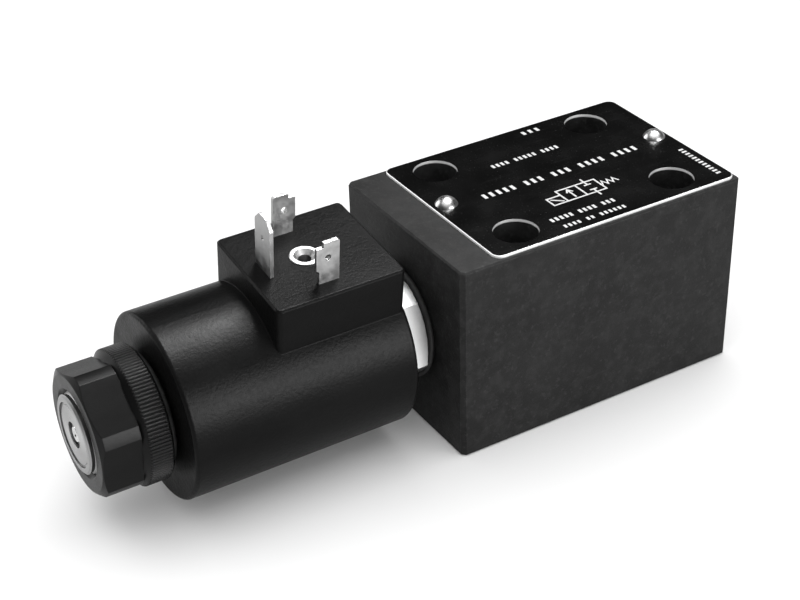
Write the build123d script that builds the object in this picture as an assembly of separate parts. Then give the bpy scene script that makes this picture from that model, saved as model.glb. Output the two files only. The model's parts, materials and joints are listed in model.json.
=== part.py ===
"""Solenoid operated hydraulic valve for a subplate with the ISO 4401-03 pattern.

Frame, in millimetres: the origin is the centre of the four mounting holes, on the
mounting face. +Z points up out of the subplate, and the solenoid lies along -X.
Every turned piece is drawn about the solenoid axis, which runs along X.
"""

import os
from math import cos, pi, sin, sqrt

from build123d import *

# ---------------------------------------------------------------- mounting pattern
BOLT_SPACING_X = 40.5
BOLT_SPACING_Y = 31.0
BOLT_HOLE_R = 2.75
SCREW_HEAD_R = 4.8
SCREW_HEAD_SEAT_Z = 21.0
PORTS = {"p": (1.25, 10.4), "t": (1.25, -10.4), "a": (-7.55, 0.0), "b": (9.95, 0.0)}
PORT_R = 3.5
PORT_BLIND_DEPTH = 6.0
PORT_P_DEPTH = 8.0
PORT_SEAL_OUTER_R = 6.2
PORT_SEAL_INNER_R = 4.6
PORT_SEAL_DEPTH = 1.4

# ---------------------------------------------------------------- valve body
BODY_X0 = -38.3
BODY_X1 = 33.4
BODY_WIDTH = 46.0
BODY_HEIGHT = 45.5
BODY_CORNER_CHAMFER = 0.9
BODY_EDGE_CHAMFER = 0.4
AXIS_Z = 22.8
TUBE_BORE_R = 11.05
TUBE_BORE_END_X = -26.5
STEM_CHAMBER_R = 6.6
SEAT_SHOULDER_X = 0.0
SEAT_BORE_R = 8.2
PLUG_BORE_X = 20.0
PLUG_BORE_R = 9.05
ANGLED_DRILL_R = 3.0
ANGLED_DRILL_START_Z = 6.5
ANGLED_DRILL_END = (13.5, 0.0, 20.0)

# ---------------------------------------------------------------- nameplate
PLATE_X0 = -29.5
PLATE_X1 = 32.5
PLATE_WIDTH = 44.5
PLATE_THICKNESS = 0.6
PLATE_CORNER_R = 2.0
PLATE_EDGE_BREAK = 0.15
PLATE_TOP_Z = BODY_HEIGHT + PLATE_THICKNESS
RIVET_XS = (-26.0, 29.3)
RIVET_Y = 2.0
RIVET_HEAD_R = 2.5
RIVET_HEAD_HEIGHT = 1.6
RIVET_SHANK_R = 1.25
RIVET_SHANK_LENGTH = 5.0

# ---------------------------------------------------------------- core tube
TUBE_R = 8.6
TUBE_INNER_R = 7.0
TUBE_END_X = -114.15
COLLAR_HEX_FLATS = 24.0
COLLAR_HEX_X0 = -46.3
COLLAR_HEX_X1 = -39.9
COLLAR_CORNER_ANGLE = 15.0
SHANK_END_X = -27.0
SHANK_R = 11.0
POLE_FACE_X = -63.0
SLEEVE_X0 = -67.0
SLEEVE_X1 = -62.0
SHIM_THICKNESS = 0.3
SHIM_OUTER_R = 6.6
COLLAR_SEAL_OUTER_R = 12.95
THREAD_PITCH = 1.5
THREAD_DEPTH = 0.45
THREAD_X0 = -113.0
THREAD_TURNS = 10
END_PLUG_SHOULDER_X = -97.5
TUBE_PLUG_R = 7.25
TUBE_PLUG_GROOVE = (-108.2, -106.0)
TUBE_PLUG_GROOVE_R = 5.8
PIN_GROOVE = (-104.4, -102.6)
PIN_GROOVE_R = 3.2
TUBE_LIP_THICKNESS = 0.45
TUBE_LIP_INNER_R = 6.9
TUBE_PLUG_FACE_X = -113.95
TUBE_PLUG_FACE_R = 6.3

# ---------------------------------------------------------------- moving core
STROKE = 2.5
ARMATURE_R = 6.93
ARMATURE_X0 = -96.3
ARMATURE_X1 = -66.3
ROD_R = 1.5
ROD_PRESS_DEPTH = 12.0
ROD_END_X = -25.9
RUNNING_CLEARANCE = 0.06
PIN_R = 1.9
PIN_OUTER_X = -113.7
PIN_RECESS_R = 2.8
PIN_RECESS_DEPTH = 0.9
PIN_GAP = 0.3

# ---------------------------------------------------------------- seat, poppet, spring
SEAT_X1 = 7.0
SEAT_BORE_INNER_R = 3.4
SEAT_CHAMFER = 0.5
SEAT_OUTER_R = 8.15
SEAT_GROOVE = (2.4, 4.6)
SEAT_GROOVE_R = 6.9
POPPET_STEM_R = 2.0
POPPET_STEM_X0 = -25.6
POPPET_HEAD_R = 5.0
POPPET_HEAD_X1 = 10.0
POPPET_COLLAR_R = 5.6
POPPET_COLLAR_X1 = 11.2
POPPET_TAIL_R = 2.5
POPPET_TAIL_X1 = 22.6
POPPET_SEAT_GAP = 0.04
GUIDE_X0 = -26.4
GUIDE_X1 = -21.6
SPRING_WIRE_R = 0.55
SPRING_MEAN_R = 4.1
SPRING_X1 = 22.0
SPRING_TURNS = 5.5
PLUG_GROOVE = (20.6, 22.8)
PLUG_GROOVE_R = 7.4
PLUG_NOSE_R = 8.1
SPRING_POCKET_R = 5.3
KEY_SOCKET_FLATS = 8.0
KEY_SOCKET_DEPTH = 5.0

# ---------------------------------------------------------------- coil
COIL_X0 = -97.0
COIL_X1 = -46.7
COIL_R = 19.9
COIL_RIM_R = 0.8
COIL_BORE_R = 8.68
COIL_WALL = 1.9
COIL_END_WALL = 2.0
COIL_TURN = 6.8
BLOCK_X0 = -75.8
BLOCK_X1 = -47.0
BLOCK_WIDTH = 26.9
BLOCK_TOP_Z = AXIS_Z + 25.3
BLOCK_ROOT_Z = 30.0
BLOCK_CORNER_R = 1.2
BLOCK_TOP_CHAMFER = 0.4
YOKE_WALL = 1.5
YOKE_WASHER = 2.6
BOBBIN_WALL = 1.0
BOBBIN_FLANGE = 1.2
MOULD_GAP = 0.05
REAR_SEAL_X0 = -48.2
REAR_SEAL_OUTER_R = 10.9

# ---------------------------------------------------------------- plug contacts
CONTACT_CENTRE_X = -62.6
EARTH_TAB_X = -71.6
EARTH_TAB_WIDTH = 6.3
EARTH_TAB_HEIGHT = 13.0
EARTH_TIP_DROP = 2.0
EARTH_TIP_INSET = 1.8
EARTH_DIMPLE_R = 0.6
EARTH_DIMPLE_Z = 7.8
LINE_TAB_Y = 9.0
LINE_TAB_WIDTH = 5.1
LINE_TAB_NECK = 4.5
LINE_TAB_HEIGHT = 9.6
LINE_TAB_NECK_HEIGHT = 3.4
LINE_TAB_STEP = (1.6, 1.1)
LINE_TAB_HOLE_R = 0.7
LINE_TAB_HOLE_Z = 5.9
TAB_THICKNESS = 0.8
TAB_ROOT = 4.4
INSERT_R = 3.2
INSERT_HOLE_R = 1.35
INSERT_SINK_R = 2.3
INSERT_SINK_DEPTH = 0.9
INSERT_DEPTH = 4.7
INSERT_PROUD = 0.3

# ---------------------------------------------------------------- ring nut
NUT_X0 = -113.3
NUT_HEX_X1 = -105.0
NUT_KNURL_X0 = -105.0
NUT_KNURL_X1 = -98.8
NUT_BOSS_X1 = -97.4
NUT_HEX_FLATS = 25.0
NUT_HEX_CORNER_R = 13.7
NUT_CORNER_ANGLE = 39.0
NUT_KNURL_R = 14.4
NUT_KNURL_DEPTH = 0.38
NUT_KNURL_RIBS = 116
NUT_KNURL_BEVEL = 1.3
NUT_BORE_R = 8.66
NUT_BOSS_R = 10.2
NUT_SEAL_OUTER_R = 12.4

SOLENOID_AXIS = Axis((0, 0, AXIS_Z), (1, 0, 0))


# ---------------------------------------------------------------- shared shapes
def turned(profile):
    """A solid of revolution about the solenoid axis, from (x, radius) points."""
    outline = Polyline(*[(x, AXIS_Z + r) for x, r in profile], close=True)
    return revolve(make_face(Plane.XZ * outline), SOLENOID_AXIS, 360)


def bar(x0, x1, radius):
    """A round bar on the solenoid axis."""
    return turned([(x0, 0), (x1, 0), (x1, radius), (x0, radius)])


def ring(x0, x1, inner, outer):
    """A plain ring about the solenoid axis."""
    return turned([(x0, inner), (x1, inner), (x1, outer), (x0, outer)])


def seal_ring(x0, x1, inner, outer):
    """A squeezed O-ring about the solenoid axis: its section is an ellipse."""
    centre = Pos((x0 + x1) / 2, AXIS_Z + (inner + outer) / 2)
    section = Plane.XZ * centre * Ellipse((x1 - x0) / 2, (outer - inner) / 2)
    return revolve(section, SOLENOID_AXIS, 360)


def seal_in_groove(groove, inner, outer):
    """A squeezed O-ring that fills a groove but for a small gap all round."""
    return seal_ring(groove[0] + MOULD_GAP, groove[1] - MOULD_GAP, inner + MOULD_GAP, outer - MOULD_GAP)


def upright(x, y, z0, z1, radius):
    """A vertical cylinder from z0 to z1."""
    return Pos(x, y, (z0 + z1) / 2) * Cylinder(radius, z1 - z0)


def hex_bar(x0, x1, flats, corner_angle):
    """A hexagonal bar on the solenoid axis, from its width across flats."""
    outline = RegularPolygon(flats / 2, 6, major_radius=False, rotation=corner_angle)
    return extrude(Plane((x0, 0, AXIS_Z), x_dir=(0, 1, 0), z_dir=(1, 0, 0)) * outline, x1 - x0)


def box_between(low, high):
    """A box from its lowest and highest corners."""
    size = [b - a for a, b in zip(low, high)]
    centre = [(a + b) / 2 for a, b in zip(low, high)]
    return Pos(*centre) * Box(*size)


def bolt_positions():
    """The four mounting hole centres."""
    return [
        (sx * BOLT_SPACING_X / 2, sy * BOLT_SPACING_Y / 2) for sx in (-1, 1) for sy in (-1, 1)
    ]


# ---------------------------------------------------------------- valve body and plate
def angled_drilling():
    """Joins port P to the spring chamber, on the far side of the seat."""
    start = Vector(*PORTS["p"], ANGLED_DRILL_START_Z)
    way = Vector(*ANGLED_DRILL_END) - start
    return extrude(Plane(origin=start, z_dir=way) * Circle(ANGLED_DRILL_R), way.length)


def port_cavities():
    """The four port holes, each with a round seal recess in the mounting face."""
    cavities = angled_drilling()
    for name, (x, y) in PORTS.items():
        depth = {"a": AXIS_Z, "p": PORT_P_DEPTH}.get(name, PORT_BLIND_DEPTH)
        cavities += upright(x, y, -1, depth, PORT_R)
        cavities += upright(x, y, -1, PORT_SEAL_DEPTH, PORT_SEAL_OUTER_R)
    return cavities


def valve_body():
    """The cast block: stepped main bore, four ports and four screw holes."""
    half = BODY_WIDTH / 2
    block = box_between((BODY_X0, -half, 0), (BODY_X1, half, BODY_HEIGHT))
    block = chamfer(block.edges().filter_by(Axis.Z), BODY_CORNER_CHAMFER)
    rim = block.faces().sort_by(Axis.Z)[-1].edges() + block.faces().sort_by(Axis.Z)[0].edges()
    block = chamfer(rim, BODY_EDGE_CHAMFER)
    block -= bar(BODY_X0 - 1, TUBE_BORE_END_X, TUBE_BORE_R)
    block -= bar(TUBE_BORE_END_X, SEAT_SHOULDER_X, STEM_CHAMBER_R)
    block -= bar(SEAT_SHOULDER_X, PLUG_BORE_X, SEAT_BORE_R)
    block -= bar(PLUG_BORE_X, BODY_X1 + 1, PLUG_BORE_R)
    block -= port_cavities()
    for x, y in bolt_positions():
        block -= upright(x, y, -1, BODY_HEIGHT, BOLT_HOLE_R)
        block -= upright(x, y, SCREW_HEAD_SEAT_Z, BODY_HEIGHT + 1, SCREW_HEAD_R)
    for x in RIVET_XS:
        block -= upright(x, RIVET_Y, PLATE_TOP_Z - RIVET_SHANK_LENGTH, BODY_HEIGHT + 1, RIVET_SHANK_R)
    return block


def nameplate():
    """A thin aluminium plate with rounded corners and broken edges, open over every screw."""
    outline = RectangleRounded(PLATE_X1 - PLATE_X0, PLATE_WIDTH, PLATE_CORNER_R)
    plate = extrude(Pos((PLATE_X0 + PLATE_X1) / 2, 0, BODY_HEIGHT) * outline, PLATE_THICKNESS)
    plate = chamfer(plate.faces().sort_by(Axis.Z)[-1].edges(), PLATE_EDGE_BREAK)
    for x, y in bolt_positions():
        plate -= upright(x, y, BODY_HEIGHT - 1, PLATE_TOP_Z + 1, SCREW_HEAD_R + MOULD_GAP)
    for x in RIVET_XS:
        plate -= upright(x, RIVET_Y, BODY_HEIGHT - 1, PLATE_TOP_Z + 1, RIVET_SHANK_R)
    return plate


def nameplate_rivets():
    """Two drive rivets with low domed heads."""
    ball_r = (RIVET_HEAD_R**2 + RIVET_HEAD_HEIGHT**2) / (2 * RIVET_HEAD_HEIGHT)
    rivets = []
    for x in RIVET_XS:
        ball = Pos(x, RIVET_Y, PLATE_TOP_Z + RIVET_HEAD_HEIGHT - ball_r) * Sphere(ball_r)
        head = ball & upright(x, RIVET_Y, PLATE_TOP_Z, PLATE_TOP_Z + 2 * RIVET_HEAD_HEIGHT, ball_r)
        shank = upright(x, RIVET_Y, PLATE_TOP_Z - RIVET_SHANK_LENGTH, PLATE_TOP_Z + 0.1, RIVET_SHANK_R)
        rivets.append((head + shank).solid())
    return Compound(children=rivets)


def port_seals():
    """One squeezed O-ring in each of the four port recesses, level with the face."""
    middle_r = (PORT_SEAL_OUTER_R + PORT_SEAL_INNER_R) / 2
    half_width = (PORT_SEAL_OUTER_R - PORT_SEAL_INNER_R) / 2
    seals = []
    for x, y in PORTS.values():
        section = Ellipse(half_width - MOULD_GAP, PORT_SEAL_DEPTH / 2 - MOULD_GAP)
        section = Plane.XZ * Pos(middle_r, PORT_SEAL_DEPTH / 2) * section
        seals.append((Pos(x, y, 0) * revolve(section, Axis.Z, 360)).solid())
    return Compound(children=seals)


# ---------------------------------------------------------------- inside the valve body
def valve_seat():
    """A hardened ring with a small conical seat and a groove for its seal."""
    return turned(
        [
            (SEAT_SHOULDER_X, SEAT_BORE_INNER_R),
            (SEAT_X1 - SEAT_CHAMFER, SEAT_BORE_INNER_R),
            (SEAT_X1, SEAT_BORE_INNER_R + SEAT_CHAMFER),
            (SEAT_X1, SEAT_OUTER_R),
            (SEAT_GROOVE[1], SEAT_OUTER_R),
            (SEAT_GROOVE[1], SEAT_GROOVE_R),
            (SEAT_GROOVE[0], SEAT_GROOVE_R),
            (SEAT_GROOVE[0], SEAT_OUTER_R),
            (SEAT_SHOULDER_X, SEAT_OUTER_R),
        ]
    )


def poppet():
    """Stem, sealing cone, spring collar and guided tail, turned in one piece."""
    cone = SEAT_X1 - SEAT_CHAMFER - SEAT_BORE_INNER_R + POPPET_SEAT_GAP
    return turned(
        [
            (POPPET_STEM_X0, 0),
            (POPPET_STEM_X0, POPPET_STEM_R - 0.3),
            (POPPET_STEM_X0 + 0.3, POPPET_STEM_R),
            (cone + POPPET_STEM_R, POPPET_STEM_R),
            (cone + POPPET_HEAD_R, POPPET_HEAD_R),
            (POPPET_HEAD_X1, POPPET_HEAD_R),
            (POPPET_HEAD_X1, POPPET_COLLAR_R),
            (POPPET_COLLAR_X1, POPPET_COLLAR_R),
            (POPPET_COLLAR_X1, POPPET_TAIL_R),
            (POPPET_TAIL_X1 - 0.5, POPPET_TAIL_R),
            (POPPET_TAIL_X1, POPPET_TAIL_R - 0.5),
            (POPPET_TAIL_X1, 0),
        ]
    )


def stem_guide():
    """A bronze bush that carries the poppet's stem, with four axial oil holes."""
    bush = ring(GUIDE_X0, GUIDE_X1, POPPET_STEM_R + RUNNING_CLEARANCE, STEM_CHAMBER_R - MOULD_GAP)
    hole = Pos(0, 0, 4.3) * (bar(GUIDE_X0 - 1, GUIDE_X1 + 1, 1.1))
    for turn in range(4):
        bush -= hole.rotate(SOLENOID_AXIS, 45 + 90 * turn)
    return bush


def return_spring():
    """A compression spring with ground ends, between the poppet's collar and the plug."""
    length = SPRING_X1 - POPPET_COLLAR_X1
    rise = length - SPRING_WIRE_R
    coil = Helix(rise / SPRING_TURNS, rise, SPRING_MEAN_R, center=(0, 0, 0), direction=(1, 0, 0))
    wire = sweep(Plane(coil @ 0, z_dir=coil % 0) * Circle(SPRING_WIRE_R), path=coil, is_frenet=True)
    wire = Pos(POPPET_COLLAR_X1 + SPRING_WIRE_R / 2, 0, AXIS_Z) * wire
    ground = 0.05
    return wire & bar(POPPET_COLLAR_X1 + ground, SPRING_X1 - ground, 2 * SPRING_MEAN_R)


def end_plug():
    """The screw plug at the far end, with a hexagon socket and a pocket for the spring."""
    plug = turned(
        [
            (PLUG_BORE_X, 0),
            (PLUG_BORE_X, PLUG_NOSE_R),
            (PLUG_GROOVE[0], PLUG_NOSE_R),
            (PLUG_GROOVE[0], PLUG_GROOVE_R),
            (PLUG_GROOVE[1], PLUG_GROOVE_R),
            (PLUG_GROOVE[1], PLUG_BORE_R - MOULD_GAP),
            (BODY_X1 - 0.5, PLUG_BORE_R - MOULD_GAP),
            (BODY_X1, PLUG_BORE_R - 0.55),
            (BODY_X1, 0),
        ]
    )
    plug -= bar(PLUG_BORE_X - 1, SPRING_X1, SPRING_POCKET_R)
    plug -= bar(SPRING_X1 - 1, POPPET_TAIL_X1 + STROKE + 0.5, POPPET_TAIL_R + RUNNING_CLEARANCE)
    plug -= hex_bar(BODY_X1 - KEY_SOCKET_DEPTH, BODY_X1 + 1, KEY_SOCKET_FLATS, 0)
    return plug


# ---------------------------------------------------------------- core tube
def core_tube_base():
    """Fixed pole, hexagon collar and threaded shank, machined from one bar."""
    collar = hex_bar(COLLAR_HEX_X0, COLLAR_HEX_X1, COLLAR_HEX_FLATS, COLLAR_CORNER_ANGLE)
    corner_r = COLLAR_HEX_FLATS / sqrt(3)
    turned_r = COLLAR_HEX_FLATS / 2 + 0.1
    collar &= turned(
        [
            (COLLAR_HEX_X0, 0),
            (COLLAR_HEX_X0, corner_r),
            (COLLAR_HEX_X1 - 0.9, corner_r),
            (COLLAR_HEX_X1, turned_r),
            (COLLAR_HEX_X1, 0),
        ]
    )
    shaft = turned(
        [
            (POLE_FACE_X, 0),
            (POLE_FACE_X, TUBE_INNER_R - MOULD_GAP),
            (SLEEVE_X1, TUBE_INNER_R - MOULD_GAP),
            (SLEEVE_X1, TUBE_R),
            (COLLAR_HEX_X0 + 0.1, TUBE_R),
            (COLLAR_HEX_X0 + 0.1, SHANK_R),
            (SHANK_END_X - 1, SHANK_R),
            (SHANK_END_X, SHANK_R - 1),
            (SHANK_END_X, 0),
        ]
    )
    return collar + shaft - bar(POLE_FACE_X - 1, SHANK_END_X + 1, ROD_R + RUNNING_CLEARANCE)


def thread_ridges():
    """Profile points of the nut's thread on the tube, drawn as equal ring ridges."""
    points = []
    for turn in range(THREAD_TURNS):
        x = THREAD_X0 + turn * THREAD_PITCH
        points += [(x, TUBE_R - THREAD_DEPTH), (x + 0.3 * THREAD_PITCH, TUBE_R)]
        points += [(x + 0.7 * THREAD_PITCH, TUBE_R)]
    return points + [(THREAD_X0 + THREAD_TURNS * THREAD_PITCH, TUBE_R - THREAD_DEPTH)]


def core_tube():
    """The armature's guide tube: threaded at its end, with a lip rolled over the plug."""
    lip_x = TUBE_END_X + TUBE_LIP_THICKNESS
    return turned(
        [
            (TUBE_END_X, TUBE_LIP_INNER_R),
            (TUBE_END_X, TUBE_R - 0.8),
            (TUBE_END_X + 0.35, TUBE_R - 0.3),
            *thread_ridges(),
            (THREAD_X0 + THREAD_TURNS * THREAD_PITCH + 0.6, TUBE_R),
            (SLEEVE_X0, TUBE_R),
            (SLEEVE_X0, TUBE_INNER_R),
            (END_PLUG_SHOULDER_X, TUBE_INNER_R),
            (END_PLUG_SHOULDER_X, TUBE_PLUG_R + MOULD_GAP),
            (lip_x, TUBE_PLUG_R + MOULD_GAP),
            (lip_x, TUBE_LIP_INNER_R),
        ]
    )


def tube_end_plug():
    """The stepped disc that closes the tube and guides the override pin, with two seal grooves."""
    lip_x = TUBE_END_X + TUBE_LIP_THICKNESS
    plug = turned(
        [
            (TUBE_PLUG_FACE_X, 0),
            (TUBE_PLUG_FACE_X, TUBE_PLUG_FACE_R - 0.2),
            (TUBE_PLUG_FACE_X + 0.1, TUBE_PLUG_FACE_R),
            (lip_x, TUBE_PLUG_FACE_R),
            (lip_x, TUBE_PLUG_R),
            (TUBE_PLUG_GROOVE[0], TUBE_PLUG_R),
            (TUBE_PLUG_GROOVE[0], TUBE_PLUG_GROOVE_R),
            (TUBE_PLUG_GROOVE[1], TUBE_PLUG_GROOVE_R),
            (TUBE_PLUG_GROOVE[1], TUBE_PLUG_R),
            (END_PLUG_SHOULDER_X, TUBE_PLUG_R),
            (END_PLUG_SHOULDER_X, 0),
        ]
    )
    plug -= bar(TUBE_PLUG_FACE_X - 1, END_PLUG_SHOULDER_X + 1, PIN_R + RUNNING_CLEARANCE)
    plug -= bar(TUBE_PLUG_FACE_X - 1, TUBE_PLUG_FACE_X + PIN_RECESS_DEPTH, PIN_RECESS_R)
    return plug - bar(*PIN_GROOVE, PIN_GROOVE_R)


def override_pin():
    """The push pin of the manual override, dished at the end that is pressed."""
    inner_x = ARMATURE_X0 - PIN_GAP
    return turned(
        [
            (PIN_OUTER_X + 0.5, 0),
            (PIN_OUTER_X, 0.7),
            (PIN_OUTER_X, PIN_R - 0.35),
            (PIN_OUTER_X + 0.35, PIN_R),
            (inner_x, PIN_R),
            (inner_x, 0),
        ]
    )


# ---------------------------------------------------------------- armature and push rod
def armature():
    """The moving iron core, with a rod bore and two oil grooves along its sides."""
    core = turned(
        [
            (ARMATURE_X0, 0),
            (ARMATURE_X0, ARMATURE_R - 0.6),
            (ARMATURE_X0 + 0.6, ARMATURE_R),
            (ARMATURE_X1 - 0.6, ARMATURE_R),
            (ARMATURE_X1, ARMATURE_R - 0.6),
            (ARMATURE_X1, 0),
        ]
    )
    core -= bar(ARMATURE_X1 - ROD_PRESS_DEPTH, ARMATURE_X1 + 1, ROD_R)
    groove = Pos(0, 0, ARMATURE_R) * bar(ARMATURE_X0 - 1, ARMATURE_X1 + 1, 1.0)
    for angle in (0, 180):
        core -= groove.rotate(SOLENOID_AXIS, angle)
    return core


# ---------------------------------------------------------------- coil
def as_clamped(shape):
    """Turns a piece of the coil from upright to the angle at which the coil is clamped."""
    return shape.rotate(SOLENOID_AXIS, COIL_TURN)


def tab_slot(tab):
    """The part of a contact tab that is moulded into the connector block."""
    return tab & box_between((BLOCK_X0, -20, 30), (BLOCK_X1, 20, BLOCK_TOP_Z + 0.01))


def coil_housing():
    """The moulded jacket: a round barrel and the square connector block on top."""
    barrel = bar(COIL_X0, COIL_X1, COIL_R)
    barrel = fillet(barrel.edges().filter_by(GeomType.CIRCLE), COIL_RIM_R)
    half = BLOCK_WIDTH / 2
    block = box_between((BLOCK_X0, -half, BLOCK_ROOT_Z), (BLOCK_X1, half, BLOCK_TOP_Z))
    block = fillet(block.edges().filter_by(Axis.Z), BLOCK_CORNER_R)
    block = chamfer(block.faces().sort_by(Axis.Z)[-1].edges(), BLOCK_TOP_CHAMFER)
    jacket = barrel + block
    jacket -= bar(COIL_X0 + COIL_END_WALL, COIL_X1 - COIL_END_WALL, COIL_R - COIL_WALL)
    jacket -= bar(COIL_X0 - 1, COIL_X1 + 1, COIL_BORE_R)
    jacket -= bar(REAR_SEAL_X0, COIL_X1 + 1, REAR_SEAL_OUTER_R)
    jacket -= upright(CONTACT_CENTRE_X, 0, BLOCK_TOP_Z - INSERT_DEPTH, BLOCK_TOP_Z + 1, INSERT_R)
    for tab in (earth_tab(), line_tab(1), line_tab(-1)):
        jacket -= tab_slot(tab)
    return jacket


def yoke_sleeve():
    """The steel tube that carries the magnetic flux round the winding."""
    outer = COIL_R - COIL_WALL - MOULD_GAP
    x0 = COIL_X0 + COIL_END_WALL + MOULD_GAP
    x1 = COIL_X1 - COIL_END_WALL - MOULD_GAP
    return ring(x0, x1, outer - YOKE_WALL, outer)


def yoke_washer(x0):
    """A steel end washer of the flux path."""
    outer = COIL_R - COIL_WALL - YOKE_WALL - 2 * MOULD_GAP
    return ring(x0, x0 + YOKE_WASHER, COIL_BORE_R + MOULD_GAP, outer)


def winding_space():
    """The x range between the two yoke washers."""
    x0 = COIL_X0 + COIL_END_WALL + YOKE_WASHER + 2 * MOULD_GAP
    x1 = COIL_X1 - COIL_END_WALL - YOKE_WASHER - 2 * MOULD_GAP
    return x0, x1


def coil_bobbin():
    """The moulded spool under the winding."""
    x0, x1 = winding_space()
    inner = COIL_BORE_R + MOULD_GAP
    outer = COIL_R - COIL_WALL - YOKE_WALL - 2 * MOULD_GAP
    return turned(
        [
            (x0, inner),
            (x1, inner),
            (x1, outer),
            (x1 - BOBBIN_FLANGE, outer),
            (x1 - BOBBIN_FLANGE, inner + BOBBIN_WALL),
            (x0 + BOBBIN_FLANGE, inner + BOBBIN_WALL),
            (x0 + BOBBIN_FLANGE, outer),
            (x0, outer),
        ]
    )


def coil_winding():
    """The copper winding, as one closed ring."""
    x0, x1 = winding_space()
    side = BOBBIN_FLANGE + MOULD_GAP
    inner = COIL_BORE_R + BOBBIN_WALL + 2 * MOULD_GAP
    outer = COIL_R - COIL_WALL - YOKE_WALL - 0.8
    return ring(x0 + side, x1 - side, inner, outer)


def earth_tab():
    """The wide earth contact, across the axis, with a tapered tip and a dimple."""
    base_z = BLOCK_TOP_Z - TAB_ROOT
    top_z = BLOCK_TOP_Z + EARTH_TAB_HEIGHT
    half = EARTH_TAB_WIDTH / 2
    outline = Polyline(
        (-half, base_z),
        (half, base_z),
        (half, top_z - EARTH_TIP_DROP),
        (half - EARTH_TIP_INSET, top_z),
        (EARTH_TIP_INSET - half, top_z),
        (-half, top_z - EARTH_TIP_DROP),
        close=True,
    )
    face = fillet(make_face(outline).vertices().sort_by(Axis.Y)[2:], 0.9)
    plane = Plane((EARTH_TAB_X - TAB_THICKNESS / 2, 0, 0), x_dir=(0, 1, 0), z_dir=(1, 0, 0))
    tab = extrude(plane * face, TAB_THICKNESS)
    ball = Sphere(EARTH_DIMPLE_R, rotation=(0, 90, 0))
    face_x = EARTH_TAB_X - TAB_THICKNESS / 2
    return tab - Pos(face_x - EARTH_DIMPLE_R / 2, 0, BLOCK_TOP_Z + EARTH_DIMPLE_Z) * ball


def line_tab(side):
    """A line contact beside the insert: narrow neck, full width, stepped top, round hole."""
    base_z = BLOCK_TOP_Z - TAB_ROOT
    top_z = BLOCK_TOP_Z + LINE_TAB_HEIGHT
    step_x, step_z = LINE_TAB_STEP
    far = LINE_TAB_WIDTH / 2
    neck = far - LINE_TAB_NECK
    points = [
        (neck, base_z),
        (far, base_z),
        (far, top_z - 0.4),
        (far - 0.4, top_z),
        (step_x - far, top_z),
        (step_x - far, top_z - step_z),
        (-far, top_z - step_z),
        (-far, BLOCK_TOP_Z + LINE_TAB_NECK_HEIGHT),
        (neck, BLOCK_TOP_Z + LINE_TAB_NECK_HEIGHT - 0.5),
    ]
    face = make_face(Polyline(*[(-side * x, z) for x, z in points], close=True))
    centre = Plane((CONTACT_CENTRE_X, side * LINE_TAB_Y, 0), x_dir=(1, 0, 0), z_dir=(0, -1, 0))
    tab = extrude(centre * face, TAB_THICKNESS / 2, both=True)
    hole = Cylinder(LINE_TAB_HOLE_R, 4, rotation=(90, 0, 0))
    return tab - Pos(CONTACT_CENTRE_X, side * LINE_TAB_Y, BLOCK_TOP_Z + LINE_TAB_HOLE_Z) * hole


def connector_insert():
    """The plated insert, with a countersunk hole for the plug's central screw."""
    z0 = BLOCK_TOP_Z - INSERT_DEPTH
    z1 = BLOCK_TOP_Z + INSERT_PROUD
    insert = upright(CONTACT_CENTRE_X, 0, z0, z1, INSERT_R)
    insert = fillet(insert.edges().sort_by(Axis.Z)[-1], 0.25)
    sink = Cone(INSERT_HOLE_R, INSERT_SINK_R, INSERT_SINK_DEPTH)
    insert -= Pos(CONTACT_CENTRE_X, 0, z1 - INSERT_SINK_DEPTH / 2) * sink
    return insert - upright(CONTACT_CENTRE_X, 0, z0 + 0.7, z1 + 1, INSERT_HOLE_R)


# ---------------------------------------------------------------- ring nut
def knurl_outline():
    """Straight knurling: one flat-topped rib and one V groove per step."""
    step = 2 * pi / NUT_KNURL_RIBS
    root = NUT_KNURL_R - NUT_KNURL_DEPTH
    points = []
    for rib in range(NUT_KNURL_RIBS):
        for share, radius in ((0.0, NUT_KNURL_R), (0.3, NUT_KNURL_R), (0.65, root)):
            angle = (rib + share) * step
            points.append((radius * cos(angle), radius * sin(angle)))
    return make_face(Polyline(*points, close=True))


def ring_nut():
    """Hexagon, knurled grip ring and clamping boss in one moulding."""
    hexagon = hex_bar(NUT_X0, NUT_HEX_X1 + 0.1, NUT_HEX_FLATS, NUT_CORNER_ANGLE)
    front_r = NUT_HEX_FLATS / 2 - 0.3
    hexagon &= turned(
        [
            (NUT_X0, 0),
            (NUT_X0, front_r),
            (NUT_X0 + 0.8, NUT_HEX_CORNER_R),
            (NUT_HEX_X1 + 0.1, NUT_HEX_CORNER_R),
            (NUT_HEX_X1 + 0.1, 0),
        ]
    )
    plane = Plane((NUT_KNURL_X0, 0, AXIS_Z), x_dir=(0, 1, 0), z_dir=(1, 0, 0))
    grip = extrude(plane * knurl_outline(), NUT_KNURL_X1 - NUT_KNURL_X0)
    grip &= turned(
        [
            (NUT_KNURL_X0, 0),
            (NUT_KNURL_X0, NUT_HEX_FLATS / 2 + 0.3),
            (NUT_KNURL_X0 + NUT_KNURL_BEVEL, NUT_KNURL_R + 0.05),
            (NUT_KNURL_X1 - 0.6, NUT_KNURL_R + 0.05),
            (NUT_KNURL_X1, NUT_KNURL_R - 0.6),
            (NUT_KNURL_X1, 0),
        ]
    )
    nut = hexagon + grip + bar(NUT_KNURL_X1 - 0.1, NUT_BOSS_X1, NUT_BOSS_R)
    nut -= bar(NUT_X0 - 1, NUT_BOSS_X1 + 1, NUT_BORE_R)
    return nut - turned([(NUT_X0 - 0.1, 0), (NUT_X0 - 0.1, NUT_BORE_R + 0.9), (NUT_X0 + NUT_BORE_R + 0.8, 0)])


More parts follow.
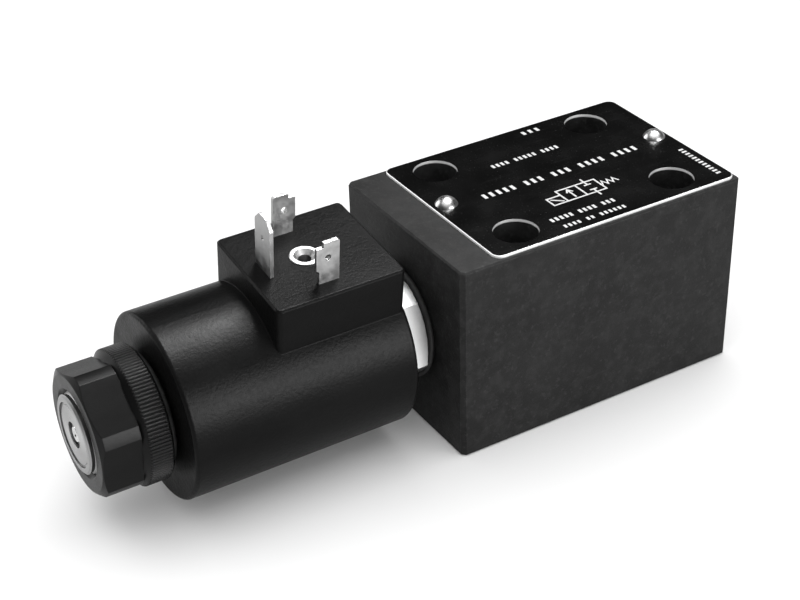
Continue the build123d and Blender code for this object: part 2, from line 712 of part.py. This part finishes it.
def collar_seal():
    """The O-ring squeezed between the collar and the valve body."""
    return seal_in_groove((COLLAR_HEX_X1, BODY_X0), SHANK_R, COLLAR_SEAL_OUTER_R)


def coil_rear_seal():
    """The O-ring in the coil's rear face, round the collar end of the tube."""
    return seal_in_groove((REAR_SEAL_X0, COIL_X1), COIL_BORE_R + 0.2, REAR_SEAL_OUTER_R)


def nut_seal():
    """The O-ring between the ring nut and the coil, round the nut's clamping boss."""
    return seal_in_groove((NUT_KNURL_X1, COIL_X0 - 0.25), NUT_BOSS_R, NUT_SEAL_OUTER_R)


def main():
    os.makedirs("parts", exist_ok=True)
    pin_seal_bore = PIN_R + RUNNING_CLEARANCE
    washer_x0 = COIL_X0 + COIL_END_WALL + MOULD_GAP
    washer_x1 = COIL_X1 - COIL_END_WALL - MOULD_GAP - YOKE_WASHER
    parts = {
        "valve_body": valve_body(),
        "nameplate": nameplate(),
        "nameplate_rivets": nameplate_rivets(),
        "port_seals": port_seals(),
        "valve_seat": valve_seat(),
        "seat_seal": seal_in_groove(SEAT_GROOVE, SEAT_GROOVE_R, SEAT_BORE_R),
        "poppet": poppet(),
        "stem_guide": stem_guide(),
        "return_spring": return_spring(),
        "end_plug": end_plug(),
        "end_plug_seal": seal_in_groove(PLUG_GROOVE, PLUG_GROOVE_R, PLUG_BORE_R),
        "core_tube_base": core_tube_base(),
        "core_tube_seal": collar_seal(),
        "core_tube_sleeve": ring(SLEEVE_X0, SLEEVE_X1, TUBE_INNER_R, TUBE_R),
        "core_tube": core_tube(),
        "tube_end_plug": tube_end_plug(),
        "tube_end_seal": seal_in_groove(TUBE_PLUG_GROOVE, TUBE_PLUG_GROOVE_R, TUBE_PLUG_R),
        "override_seal": seal_in_groove(PIN_GROOVE, pin_seal_bore, PIN_GROOVE_R),
        "pole_shim": ring(POLE_FACE_X - SHIM_THICKNESS, POLE_FACE_X, ROD_R + 0.4, SHIM_OUTER_R),
        "override_pin": override_pin(),
        "armature": armature(),
        "push_rod": bar(ARMATURE_X1 - ROD_PRESS_DEPTH, ROD_END_X, ROD_R),
        "coil_housing": as_clamped(coil_housing()),
        "yoke_sleeve": yoke_sleeve(),
        "yoke_front_washer": yoke_washer(washer_x0),
        "yoke_rear_washer": yoke_washer(washer_x1),
        "coil_bobbin": coil_bobbin(),
        "coil_winding": coil_winding(),
        "earth_contact": as_clamped(earth_tab()),
        "line_contact_1": as_clamped(line_tab(1)),
        "line_contact_2": as_clamped(line_tab(-1)),
        "connector_insert": as_clamped(connector_insert()),
        "coil_rear_seal": coil_rear_seal(),
        "ring_nut": ring_nut(),
        "nut_seal": nut_seal(),
    }
    for name, shape in parts.items():
        export_step(shape, f"parts/{name}.step")


main()
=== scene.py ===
"""The looks of a solenoid operated hydraulic valve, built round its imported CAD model.

Everything is in metres, in the CAD's own frame: the origin is the centre of the mounting
holes on the mounting face, +Z is up, and the solenoid lies along -X.
"""

import json
import math

import bmesh
import bpy
from mathutils import Matrix, Vector


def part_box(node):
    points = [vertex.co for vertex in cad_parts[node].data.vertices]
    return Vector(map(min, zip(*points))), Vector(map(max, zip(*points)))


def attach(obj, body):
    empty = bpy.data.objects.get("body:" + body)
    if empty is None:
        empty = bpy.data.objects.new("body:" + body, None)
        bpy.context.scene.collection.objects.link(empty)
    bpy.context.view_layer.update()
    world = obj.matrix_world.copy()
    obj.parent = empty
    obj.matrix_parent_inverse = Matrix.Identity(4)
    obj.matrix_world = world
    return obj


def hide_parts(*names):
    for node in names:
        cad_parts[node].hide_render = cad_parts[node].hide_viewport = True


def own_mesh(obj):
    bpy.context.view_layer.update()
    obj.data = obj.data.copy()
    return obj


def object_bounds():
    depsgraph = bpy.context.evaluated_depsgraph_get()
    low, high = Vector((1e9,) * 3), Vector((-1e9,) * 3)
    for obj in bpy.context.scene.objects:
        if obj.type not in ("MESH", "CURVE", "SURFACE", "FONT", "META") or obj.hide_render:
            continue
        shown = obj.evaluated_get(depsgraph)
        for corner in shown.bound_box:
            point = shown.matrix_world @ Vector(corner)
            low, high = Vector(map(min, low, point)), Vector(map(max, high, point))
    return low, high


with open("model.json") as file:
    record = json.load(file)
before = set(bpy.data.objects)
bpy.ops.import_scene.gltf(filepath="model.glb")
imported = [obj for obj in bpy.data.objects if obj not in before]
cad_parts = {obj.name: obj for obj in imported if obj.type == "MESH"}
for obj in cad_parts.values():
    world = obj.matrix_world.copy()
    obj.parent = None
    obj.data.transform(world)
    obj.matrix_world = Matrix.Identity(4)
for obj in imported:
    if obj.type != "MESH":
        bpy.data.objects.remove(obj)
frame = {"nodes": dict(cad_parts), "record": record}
cad_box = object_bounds()

MM = 0.001
NODES = frame["nodes"]
MOTIONS = {joint["name"]: joint for joint in frame["record"]["behaviour"]["joints"]}
AXIS_Z = MOTIONS["coil_swivel"]["pos_m"][2]
BODY_LOW, BODY_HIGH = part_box("valve_body")
PLATE_TOP_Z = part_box("nameplate")[1].z


# ---------------------------------------------------------------- shader helpers
NOISE_LOW = 0.3
NOISE_HIGH = 0.7


def grey(level):
    """A neutral colour."""
    return (level, level, level)


class Shader:
    """A Principled material and short calls for the nodes that feed it. Sizes are in mm."""

    def __init__(self, name, **constants):
        self.material = bpy.data.materials.new(name)
        self.material.use_nodes = True
        self.tree = self.material.node_tree
        self.surface = self.tree.nodes["Principled BSDF"]
        self.place = self.add("ShaderNodeTexCoord").outputs["Object"]
        for socket, value in constants.items():
            self.surface.inputs[socket.replace("_", " ")].default_value = value

    def add(self, kind, settings=None, inputs=None):
        """A new node, with its settings, and its inputs as values or as links."""
        made = self.tree.nodes.new(kind)
        for name, value in (settings or {}).items():
            setattr(made, name, value)
        for key, value in (inputs or {}).items():
            if isinstance(value, bpy.types.NodeSocket):
                self.tree.links.new(value, made.inputs[key])
            else:
                made.inputs[key].default_value = value
        return made

    def feed(self, socket, value):
        """Links a value into one of the surface's own sockets."""
        self.tree.links.new(value, self.surface.inputs[socket])

    def maths(self, operation, first, second=0.0):
        """The result of one operation on two values."""
        return self.add("ShaderNodeMath", {"operation": operation}, {0: first, 1: second}).outputs[0]

    def plus(self, first, second):
        """The sum of two values."""
        return self.maths("ADD", first, second)

    def times(self, first, second):
        """The product of two values."""
        return self.maths("MULTIPLY", first, second)

    def stretched(self, scale):
        """The place on the object, scaled by three factors."""
        settings = {"operation": "MULTIPLY"}
        return self.add("ShaderNodeVectorMath", settings, {0: self.place, 1: scale}).outputs[0]

    def noise(self, size, detail=3.0, roughness=0.55, place=None):
        """Noise from 0 to 1 whose largest blobs are about size across."""
        inputs = {
            "Vector": place or self.place,
            "Scale": 1.0 / (size * MM),
            "Detail": detail,
            "Roughness": roughness,
        }
        return self.add("ShaderNodeTexNoise", None, inputs).outputs["Fac"]

    def band(self, value, low, high, to_low=0.0, to_high=1.0):
        """Value's stretch from low to high, mapped to another stretch."""
        inputs = {"Value": value, "From Min": low, "From Max": high, "To Min": to_low, "To Max": to_high}
        return self.add("ShaderNodeMapRange", None, inputs).outputs["Result"]

    def vary(self, noise, low=0.0, high=1.0):
        """The range that a noise mostly keeps to, mapped to low and high."""
        return self.band(noise, NOISE_LOW, NOISE_HIGH, low, high)

    def mix(self, factor, first, second):
        """A colour between first and second."""
        made = self.add("ShaderNodeMix", {"data_type": "RGBA"}, {"Factor": factor})
        for socket, value in ((made.inputs[6], first), (made.inputs[7], second)):
            if isinstance(value, bpy.types.NodeSocket):
                self.tree.links.new(value, socket)
            else:
                socket.default_value = (*value, 1.0)
        return made.outputs[2]

    def radius(self):
        """Distance from the solenoid axis."""
        parts = self.add("ShaderNodeSeparateXYZ", None, {0: self.place})
        drop = self.maths("SUBTRACT", parts.outputs["Z"], AXIS_Z)
        across = self.times(parts.outputs["Y"], parts.outputs["Y"])
        return self.maths("SQRT", self.plus(across, self.times(drop, drop)))

    def lathe_place(self):
        """A place for noise that has the same value all round the solenoid axis."""
        parts = self.add("ShaderNodeSeparateXYZ", None, {0: self.place})
        inputs = {"X": parts.outputs["X"], "Y": self.radius()}
        return self.add("ShaderNodeCombineXYZ", None, inputs).outputs[0]

    def edges(self, width, low=0.02, high=0.25):
        """1 on outer edges, 0 on faces, from how far the rounded normal leans over."""
        rounded = self.add("ShaderNodeBevel", {"samples": 6}, {"Radius": width * MM}).outputs["Normal"]
        flat = self.add("ShaderNodeNewGeometry").outputs["Normal"]
        settings = {"operation": "DOT_PRODUCT"}
        facing = self.add("ShaderNodeVectorMath", settings, {0: rounded, 1: flat}).outputs["Value"]
        return self.band(self.maths("SUBTRACT", 1.0, facing), low, high)

    def worn_edges(self, base, width, share, tone):
        """A colour, turned partly to a grey tone on its outer edges."""
        return self.mix(self.times(self.edges(width), share), base, grey(tone))

    def relief(self, height, distance, edge_width=0.0):
        """Bump on top of softly rounded edges."""
        inputs = {"Height": height, "Distance": distance * MM}
        if edge_width:
            rounded = self.add("ShaderNodeBevel", {"samples": 6}, {"Radius": edge_width * MM})
            inputs["Normal"] = rounded.outputs["Normal"]
        self.feed("Normal", self.add("ShaderNodeBump", None, inputs).outputs["Normal"])

    def painted_hollow_shade(self, value, reach, darkness):
        """A colour, darkened with painted shade where walls stand close round it, as in holes and gaps.
        """
        settings = {"samples": 4, "only_local": True}
        inputs = {"Distance": reach * MM}
        open_sky = self.add("ShaderNodeAmbientOcclusion", settings, inputs).outputs["AO"]
        return self.mix(self.band(open_sky, 0.15, 0.6), grey(darkness), value)

    def brushed_round(self, strength):
        """Stretches reflections across the turning marks round the solenoid axis."""
        self.surface.inputs["Anisotropic"].default_value = strength
        settings = {"direction_type": "RADIAL", "axis": "X"}
        self.feed("Tangent", self.add("ShaderNodeTangent", settings).outputs["Tangent"])

    def colour(self, value):
        """Sets what feeds the base colour."""
        self.feed("Base Color", value)

    def roughness(self, value):
        """Sets what feeds the roughness."""
        self.feed("Roughness", value)


# ---------------------------------------------------------------- materials
def black_iron():
    """Blackened, ground iron: fine grain, faint grinding marks and worn edges."""
    s = Shader("black_iron", Specular_IOR_Level=0.12)
    grain = s.noise(0.35, 4.0, 0.7)
    patches = s.noise(12.0, 5.0, 0.6)
    mottle = s.noise(3.0, 4.0, 0.65)
    grinding = s.noise(0.3, 2.0, 0.5, s.stretched((0.04, 0.04, 1.0)))
    speckle = s.band(s.noise(0.9, 2.0, 0.6), 0.58, 0.72)
    base = s.mix(s.vary(patches), grey(0.008), grey(0.015))
    base = s.mix(s.band(mottle, 0.45, 0.7, 0.0, 0.5), base, grey(0.028))
    base = s.mix(s.times(speckle, 0.35), base, grey(0.045))
    rubbed = s.band(s.noise(2.0, 4.0, 0.7), 0.42, 0.62)
    s.colour(s.worn_edges(base, 0.5, s.times(rubbed, 0.5), 0.14))
    s.roughness(s.plus(s.vary(patches, 0.5, 0.6), s.vary(grain, -0.06, 0.08)))
    s.relief(s.plus(s.times(grain, 0.7), s.times(grinding, 0.3)), 0.07, 0.2)
    return s.material


def black_plate():
    """Gloss black print on aluminium: the sheared edges stay bare and bright."""
    s = Shader("black_plate", Specular_IOR_Level=0.13)
    normal = s.add("ShaderNodeNewGeometry").outputs["Normal"]
    up = s.add("ShaderNodeSeparateXYZ", None, {0: normal}).outputs["Z"]
    printed = s.band(up, 0.75, 0.85)
    haze = s.noise(9.0, 4.0, 0.6)
    dust = s.band(s.noise(0.5, 2.0, 0.6), 0.66, 0.74)
    scratch = s.band(s.noise(0.7, 2.0, 0.5, s.stretched((0.05, 1.0, 1.0))), 0.66, 0.72)
    ink = s.mix(s.times(dust, 0.3), grey(0.003), grey(0.03))
    ink = s.mix(s.times(scratch, 0.12), ink, grey(0.05))
    bare = s.mix(s.vary(haze), grey(0.72), grey(0.88))
    s.colour(s.mix(printed, bare, ink))
    s.feed("Metallic", s.band(printed, 0.0, 1.0, 0.35, 0.0))
    gloss = s.plus(s.vary(haze, 0.2, 0.3), s.times(dust, 0.1))
    s.roughness(s.maths("MAXIMUM", gloss, s.band(printed, 0.0, 1.0, 0.5, 0.0)))
    s.relief(haze, 0.03, 0.08)
    return s.material


def turned_metal(name, tone, rough, groove=0.12, depth=0.006, spots=0.0, brushed=0.0):
    """Bright machined metal with fine rings about the solenoid axis."""
    s = Shader(name, Metallic=1.0)
    rings = s.noise(groove, 3.0, 0.6, s.lathe_place())
    stain = s.noise(4.0, 5.0, 0.6)
    fine = s.noise(0.4, 3.0, 0.6)
    base = s.mix(s.band(stain, 0.35, 0.68), grey(tone * 0.82), grey(tone))
    base = s.mix(s.times(s.band(fine, 0.6, 0.75), spots), base, grey(tone * 0.35))
    s.colour(s.worn_edges(base, 0.2, 0.5, 0.9))
    s.roughness(s.plus(s.vary(stain, rough, rough * 1.45), s.vary(rings, -0.05, 0.06)))
    s.relief(s.plus(rings, s.times(fine, 0.3)), depth, 0.08)
    if brushed:
        s.brushed_round(brushed)
    return s.material


def sheet_metal(name, tone, rough):
    """Tinned or nickel plated strip: drawn lines, dull spots, bright edges and painted shade in holes.
    """
    s = Shader(name, Metallic=1.0)
    drawn = s.noise(0.5, 3.0, 0.55, s.stretched((1.0, 1.0, 0.08)))
    stain = s.noise(2.2, 5.0, 0.6)
    base = s.mix(s.band(stain, 0.32, 0.66), grey(tone * 0.72), grey(tone))
    # Holes and gaps get painted shade from ambient occlusion, darkened to near black.
    s.colour(s.painted_hollow_shade(s.worn_edges(base, 0.15, 0.6, 0.92), 2.5, 0.02))
    s.roughness(s.plus(s.vary(stain, rough, rough * 1.6), s.vary(drawn, -0.05, 0.05)))
    s.relief(s.plus(drawn, s.times(stain, 0.5)), 0.012, 0.1)
    return s.material


def moulded(name, tone, rough, gloss, grain_size, grain_depth):
    """Moulded plastic with a fine eroded grain and slow variations in its gloss."""
    s = Shader(name, Specular_IOR_Level=gloss)
    grain = s.noise(grain_size, 3.0, 0.65)
    flow = s.noise(6.0, 4.0, 0.6, s.stretched((0.35, 1.0, 1.0)))
    dust = s.band(s.noise(0.6, 3.0, 0.6), 0.68, 0.76)
    base = s.mix(s.vary(flow), grey(tone * 0.8), grey(tone * 1.25))
    base = s.mix(s.times(dust, 0.3), base, grey(tone * 3.5))
    s.colour(s.worn_edges(base, 0.4, 0.35, tone * 3.2))
    s.roughness(s.plus(s.vary(flow, rough, rough + 0.08), s.vary(grain, -0.04, 0.05)))
    s.relief(grain, grain_depth, 0.3)
    return s.material


def seal_rubber():
    """Matt black nitrile with a faint bloom."""
    s = Shader("seal_rubber", Specular_IOR_Level=0.35)
    bloom = s.noise(1.5, 4.0, 0.6)
    pores = s.noise(0.15, 2.0, 0.6)
    s.colour(s.mix(s.band(bloom, 0.35, 0.7), grey(0.012), grey(0.03)))
    s.roughness(s.vary(bloom, 0.5, 0.68))
    s.relief(pores, 0.01)
    return s.material


def copper_wire():
    """Enamelled copper turns, wound about the solenoid axis."""
    wire_pitch = 0.5 * MM
    s = Shader("copper_wire", Metallic=0.9)
    parts = s.add("ShaderNodeSeparateXYZ", None, {0: s.place})
    turns = s.maths("SINE", s.times(parts.outputs["X"], math.tau / wire_pitch))
    stain = s.noise(3.0, 4.0, 0.6)
    s.colour(s.mix(s.vary(stain), (0.42, 0.13, 0.05), (0.62, 0.24, 0.1)))
    s.roughness(s.vary(stain, 0.22, 0.38))
    s.relief(turns, 0.12)
    return s.material


def white_print():
    """Screen printed white ink, slightly uneven in cover."""
    s = Shader("white_print", Specular_IOR_Level=0.4)
    cover = s.noise(0.6, 4.0, 0.7)
    s.colour(s.mix(s.band(cover, 0.3, 0.62), grey(0.42), grey(0.78)))
    s.roughness(s.vary(cover, 0.38, 0.55))
    s.relief(cover, 0.006)
    return s.material


def bronze():
    """Turned bearing bronze."""
    s = Shader("bronze", Metallic=1.0)
    rings = s.noise(0.15, 3.0, 0.6, s.lathe_place())
    stain = s.noise(3.0, 4.0, 0.6)
    s.colour(s.mix(s.vary(stain), (0.5, 0.31, 0.1), (0.72, 0.5, 0.2)))
    s.roughness(s.vary(rings, 0.22, 0.4))
    s.relief(rings, 0.006)
    return s.material


def make_materials():
    """Every material by its slot's name in the record, and the print's ink."""
    return {
        "black_iron": black_iron(),
        "black_plate": black_plate(),
        "bright_steel": sheet_metal("bright_steel", 0.54, 0.24),
        "seal_rubber": seal_rubber(),
        "hard_steel": turned_metal("hard_steel", 0.6, 0.2),
        "bronze": bronze(),
        "spring_steel": turned_metal("spring_steel", 0.35, 0.3),
        "dark_steel": turned_metal("dark_steel", 0.1, 0.34, spots=0.3),
        "zinc_steel": turned_metal("zinc_steel", 0.32, 0.36),
        "turned_steel": turned_metal("turned_steel", 0.37, 0.28, groove=0.2, depth=0.01, brushed=0.75),
        "coil_resin": moulded("coil_resin", 0.0045, 0.33, 0.055, grain_size=0.7, grain_depth=0.06),
        "bobbin_nylon": moulded("bobbin_nylon", 0.5, 0.4, 0.5, grain_size=0.25, grain_depth=0.02),
        "copper_wire": copper_wire(),
        "tinned_brass": sheet_metal("tinned_brass", 0.4, 0.34),
        "black_nut": moulded("black_nut", 0.005, 0.3, 0.085, grain_size=0.4, grain_depth=0.015),
        "white_print": white_print(),
    }


def dress_cad_nodes(materials):
    """Gives each CAD node the material of its slot in the record."""
    for entry in frame["record"]["subparts"]:
        slots = NODES[entry["node"]].data.materials
        for index in range(len(slots)):
            slots[index] = materials[entry["material_slot"]]


# ---------------------------------------------------------------- nameplate print
# Everything printed is placed in millimetres on the plate, from the centre of the screw holes.
PRINT_LIFT = 0.02 * MM
LINE_WIDTH = 0.4

SYMBOL_LEFT = -4.0
SYMBOL_MIDDLE = 1.0
SYMBOL_RIGHT = 6.0
SYMBOL_LOW = -11.4
SYMBOL_HIGH = -6.6
MAGNET_WIDTH = 3.6
MAGNET_HEIGHT = 3.0
ARROW_HALF_WIDTH = 0.8
ARROW_HEAD = 1.2
PORT_STUB = 1.5
PORT_STOP_DEPTH = 1.3
PORT_STOP_HALF_WIDTH = 0.9
SPRING_STEP = 0.7
SPRING_HEIGHT = 1.7
SPRING_CORNERS = 7

EDGE_MARKS = 12
EDGE_MARK_LEFT = 29.5
EDGE_MARK_RIGHT = 30.7
EDGE_MARK_TOP = -6.2
EDGE_MARK_HEIGHT = 0.6
EDGE_MARK_PITCH = 1.15


def mesh_piece(name, mesh_maker, material, body):
    """A new mesh piece that rides on a body and takes its finish from a slot."""
    mesh = bpy.data.meshes.new(name)
    bm = bmesh.new()
    mesh_maker(bm)
    bmesh.ops.recalc_face_normals(bm, faces=bm.faces)
    bm.to_mesh(mesh)
    bm.free()
    piece = bpy.data.objects.new(name, mesh)
    bpy.context.scene.collection.objects.link(piece)
    mesh.materials.append(material)
    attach(piece, body)


def print_vertex(bm, point, lift):
    """A vertex over a point of the plate given in millimetres."""
    return bm.verts.new((point[0] * MM, point[1] * MM, PLATE_TOP_Z + lift))


def add_patch(bm, outline):
    """A flat area of ink with a closed outline."""
    low = [print_vertex(bm, point, -PRINT_LIFT) for point in outline]
    high = [print_vertex(bm, point, PRINT_LIFT) for point in outline]
    bm.faces.new(high)
    bm.faces.new(list(reversed(low)))
    for index in range(len(outline)):
        after = (index + 1) % len(outline)
        bm.faces.new((low[index], low[after], high[after], high[index]))


def mitred(points, closed, half_width):
    """Pairs of points on both sides of a line, with mitred corners."""
    pairs = []
    count = len(points)
    for index, point in enumerate(points):
        before = points[index - 1] if closed or index > 0 else None
        after = points[(index + 1) % count] if closed or index < count - 1 else None
        ways = []
        if before is not None:
            ways.append((Vector(point) - Vector(before)).normalized())
        if after is not None:
            ways.append((Vector(after) - Vector(point)).normalized())
        along = sum(ways, Vector((0.0, 0.0))).normalized()
        side = Vector((-along.y, along.x)) * half_width / along.dot(ways[0])
        pairs.append((Vector(point) - side, Vector(point) + side))
    return pairs


def add_line(bm, points, closed=False, width=LINE_WIDTH):
    """A printed line through several points."""
    pairs = mitred(points, closed, width / 2)
    rims = []
    for lift in (-PRINT_LIFT, PRINT_LIFT):
        rims.append([[print_vertex(bm, point, lift) for point in pair] for pair in pairs])
    low, high = rims
    spans = len(points) if closed else len(points) - 1
    for index in range(spans):
        after = (index + 1) % len(points)
        bm.faces.new((high[index][0], high[after][0], high[after][1], high[index][1]))
        bm.faces.new((low[index][1], low[after][1], low[after][0], low[index][0]))
        for side in (0, 1):
            bm.faces.new((low[index][side], low[after][side], high[after][side], high[index][side]))
    if not closed:
        for end in (0, -1):
            bm.faces.new((low[end][0], low[end][1], high[end][1], high[end][0]))


def box_points(x0, y0, x1, y1):
    """The corners of an upright rectangle."""
    return [(x0, y0), (x1, y0), (x1, y1), (x0, y1)]


def add_marks(bm, x0, y, groups, width, height, pitch):
    """A row of plain upright marks in groups, where a plate would carry words."""
    x = x0
    for count in groups:
        for _ in range(count):
            add_patch(bm, box_points(x, y - height / 2, x + width, y + height / 2))
            x += pitch
        x += pitch


def add_magnet_symbol(bm):
    """The small box with a slanting line that stands for the solenoid."""
    side = SYMBOL_LEFT - LINE_WIDTH / 2
    left = SYMBOL_LEFT - MAGNET_WIDTH
    top = SYMBOL_LOW + MAGNET_HEIGHT
    add_line(bm, [(side, top), (left, top), (left, SYMBOL_LOW), (side, SYMBOL_LOW)])
    add_line(bm, [(left + 0.6, top - 0.6), (side - 0.5, SYMBOL_LOW + 0.5)])


def add_open_position(bm):
    """The arrow of the position in which the valve lets oil through."""
    x = (SYMBOL_LEFT + SYMBOL_MIDDLE) / 2
    tip = SYMBOL_HIGH - 0.7
    foot = tip - ARROW_HEAD
    add_line(bm, [(x - ARROW_HALF_WIDTH, foot), (x, tip), (x + ARROW_HALF_WIDTH, foot)])
    add_line(bm, [(x, SYMBOL_LOW + 0.6), (x, tip - 0.45)])


def add_closed_position(bm):
    """The two stopped ports of the position in which the valve is shut."""
    half = LINE_WIDTH / 2
    x = (SYMBOL_MIDDLE + SYMBOL_RIGHT) / 2
    for edge, way in ((SYMBOL_HIGH, 1), (SYMBOL_LOW, -1)):
        stop = edge - way * PORT_STOP_DEPTH
        add_line(bm, [(x, edge + way * half), (x, edge + way * PORT_STUB)])
        add_line(bm, [(x, edge - way * half), (x, stop + way * half)])
        add_line(bm, [(x - PORT_STOP_HALF_WIDTH, stop), (x + PORT_STOP_HALF_WIDTH, stop)])


def add_spring_symbol(bm):
    """The zigzag that stands for the return spring."""
    x0 = SYMBOL_RIGHT + LINE_WIDTH / 2
    low = SYMBOL_LOW + 1.5
    corners = range(SPRING_CORNERS)
    zigzag = [(x0 + SPRING_STEP * corner, low + SPRING_HEIGHT * (corner % 2)) for corner in corners]
    add_line(bm, zigzag, width=LINE_WIDTH * 0.8)


def add_valve_symbol(bm):
    """A generic symbol of a valve with two positions, one solenoid and a return spring."""
    half = LINE_WIDTH / 2
    add_line(bm, box_points(SYMBOL_LEFT, SYMBOL_LOW, SYMBOL_RIGHT, SYMBOL_HIGH), closed=True)
    add_line(bm, [(SYMBOL_MIDDLE, SYMBOL_LOW + half), (SYMBOL_MIDDLE, SYMBOL_HIGH - half)])
    add_magnet_symbol(bm)
    add_open_position(bm)
    add_closed_position(bm)
    add_spring_symbol(bm)


def nameplate_print(materials):
    """All the white print of the nameplate, with blank marks in place of any lettering."""
    def make(bm):
        add_valve_symbol(bm)
        add_marks(bm, -9.0, 10.1, (4, 5, 4), width=0.65, height=1.35, pitch=1.2)
        add_marks(bm, -18.0, 0.0, (5, 3, 3, 4, 4), width=0.8, height=1.9, pitch=1.8)
        add_marks(bm, -12.0, -16.2, (5, 4, 3), width=0.65, height=1.35, pitch=1.2)
        add_marks(bm, -11.0, -19.6, (4, 2, 6), width=0.6, height=1.15, pitch=1.15)
        add_marks(bm, 5.5, 19.5, (3,), width=0.8, height=1.5, pitch=1.8)
        for row in range(EDGE_MARKS):
            y = EDGE_MARK_TOP - EDGE_MARK_PITCH * row
            add_patch(bm, box_points(EDGE_MARK_LEFT, y - EDGE_MARK_HEIGHT, EDGE_MARK_RIGHT, y))

    mesh_piece("nameplate_print", make, materials["white_print"], "valve")


# ---------------------------------------------------------------- return spring
def return_spring(materials):
    """The return spring as a piece of its own, in spring steel, riding on the valve."""
    piece = bpy.data.objects.new("return_spring_coil", NODES["return_spring"].data.copy())
    bpy.context.scene.collection.objects.link(piece)
    piece.data.materials.clear()
    piece.data.materials.append(materials["spring_steel"])
    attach(piece, "valve")
    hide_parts("return_spring")
    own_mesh(piece)


# ---------------------------------------------------------------- studio
CAMERA_LENS = 77.35
CAMERA_DISTANCE = 0.37964
CAMERA_AZIMUTH = math.radians(-30.31)
CAMERA_ELEVATION = math.radians(32.57)
CAMERA_ROLL = math.radians(-1.74)
AIM_OFFSET = Vector((-30.655, 10.4, -2.75)) * MM
FLOOR_HALF = 3.0
FLOOR_TONE = 0.86


def studio_camera():
    """The camera, looking down on the solenoid's end and the nameplate."""
    aim = (BODY_LOW + BODY_HIGH) / 2 + AIM_OFFSET
    flat = math.cos(CAMERA_ELEVATION)
    back = Vector(
        (
            math.sin(CAMERA_AZIMUTH) * flat,
            -math.cos(CAMERA_AZIMUTH) * flat,
            math.sin(CAMERA_ELEVATION),
        )
    )
    right = Vector((0.0, 0.0, 1.0)).cross(back).normalized()
    up = back.cross(right)
    turned_right = right * math.cos(CAMERA_ROLL) + up * math.sin(CAMERA_ROLL)
    turned_up = up * math.cos(CAMERA_ROLL) - right * math.sin(CAMERA_ROLL)
    data = bpy.data.cameras.new("camera")
    data.lens = CAMERA_LENS
    data.clip_start = 0.01
    camera = bpy.data.objects.new("camera", data)
    camera.matrix_world = Matrix.Translation(aim + back * CAMERA_DISTANCE) @ Matrix(
        (turned_right, turned_up, back)
    ).transposed().to_4x4()
    bpy.context.scene.collection.objects.link(camera)
    bpy.context.scene.camera = camera


def area_light(name, place, aim, size, power, shine_only=False):
    """A soft square light that points at a place and is itself out of sight.

    A light that only shines gives highlights, and neither brightens nor shadows the floor.
    """
    data = bpy.data.lights.new(name, "AREA")
    data.size = size
    data.energy = power
    light = bpy.data.objects.new(name, data)
    light.location = place
    light.visible_camera = False
    light.visible_diffuse = not shine_only
    light.rotation_euler = (Vector(aim) - Vector(place)).to_track_quat("-Z", "Y").to_euler()
    bpy.context.scene.collection.objects.link(light)


def studio_floor():
    """A plain pale floor, level with the mounting face."""
    corners = box_points(-FLOOR_HALF, -FLOOR_HALF, FLOOR_HALF, FLOOR_HALF)
    mesh = bpy.data.meshes.new("floor")
    mesh.from_pydata([(x, y, cad_box[0].z) for x, y in corners], [], [(0, 1, 2, 3)])
    white = (*grey(FLOOR_TONE), 1.0)
    paint = Shader("floor_paint", Base_Color=white, Roughness=0.9, Specular_IOR_Level=0.1)
    mesh.materials.append(paint.material)
    floor = bpy.data.objects.new("floor", mesh)
    bpy.context.scene.collection.objects.link(floor)


def studio_world():
    """An even white surround, which bright metal and gloss don't mirror."""
    world = bpy.data.worlds.new("studio")
    world.use_nodes = True
    background = world.node_tree.nodes["Background"]
    background.inputs["Color"].default_value = (1.0, 1.0, 1.0, 1.0)
    background.inputs["Strength"].default_value = 1.0
    world.cycles_visibility.glossy = False
    bpy.context.scene.world = world
    bpy.context.scene.view_settings.view_transform = "Standard"


def studio_lights():
    """A large light above, and three that draw the highlights on the round coil."""
    coil = (-0.09, 0.0, 0.04)
    middle = (-0.05, 0.0, 0.03)
    area_light("overhead", (0.0, -0.1, 1.5), (0.0, 0.0, 0.0), size=2.0, power=16.0)
    area_light("key", (0.13, 0.098, 0.53), coil, size=0.2, power=9.2, shine_only=True)
    area_light("fill", (0.2, -0.7, 0.2), middle, size=0.4, power=9.5, shine_only=True)
    area_light("back", (-0.45, 0.7, 0.35), (-0.02, 0.0, 0.03), size=0.5, power=3.0, shine_only=True)


# ---------------------------------------------------------------- assembly
materials = make_materials()
dress_cad_nodes(materials)
nameplate_print(materials)
return_spring(materials)
studio_camera()
studio_floor()
studio_world()
studio_lights()
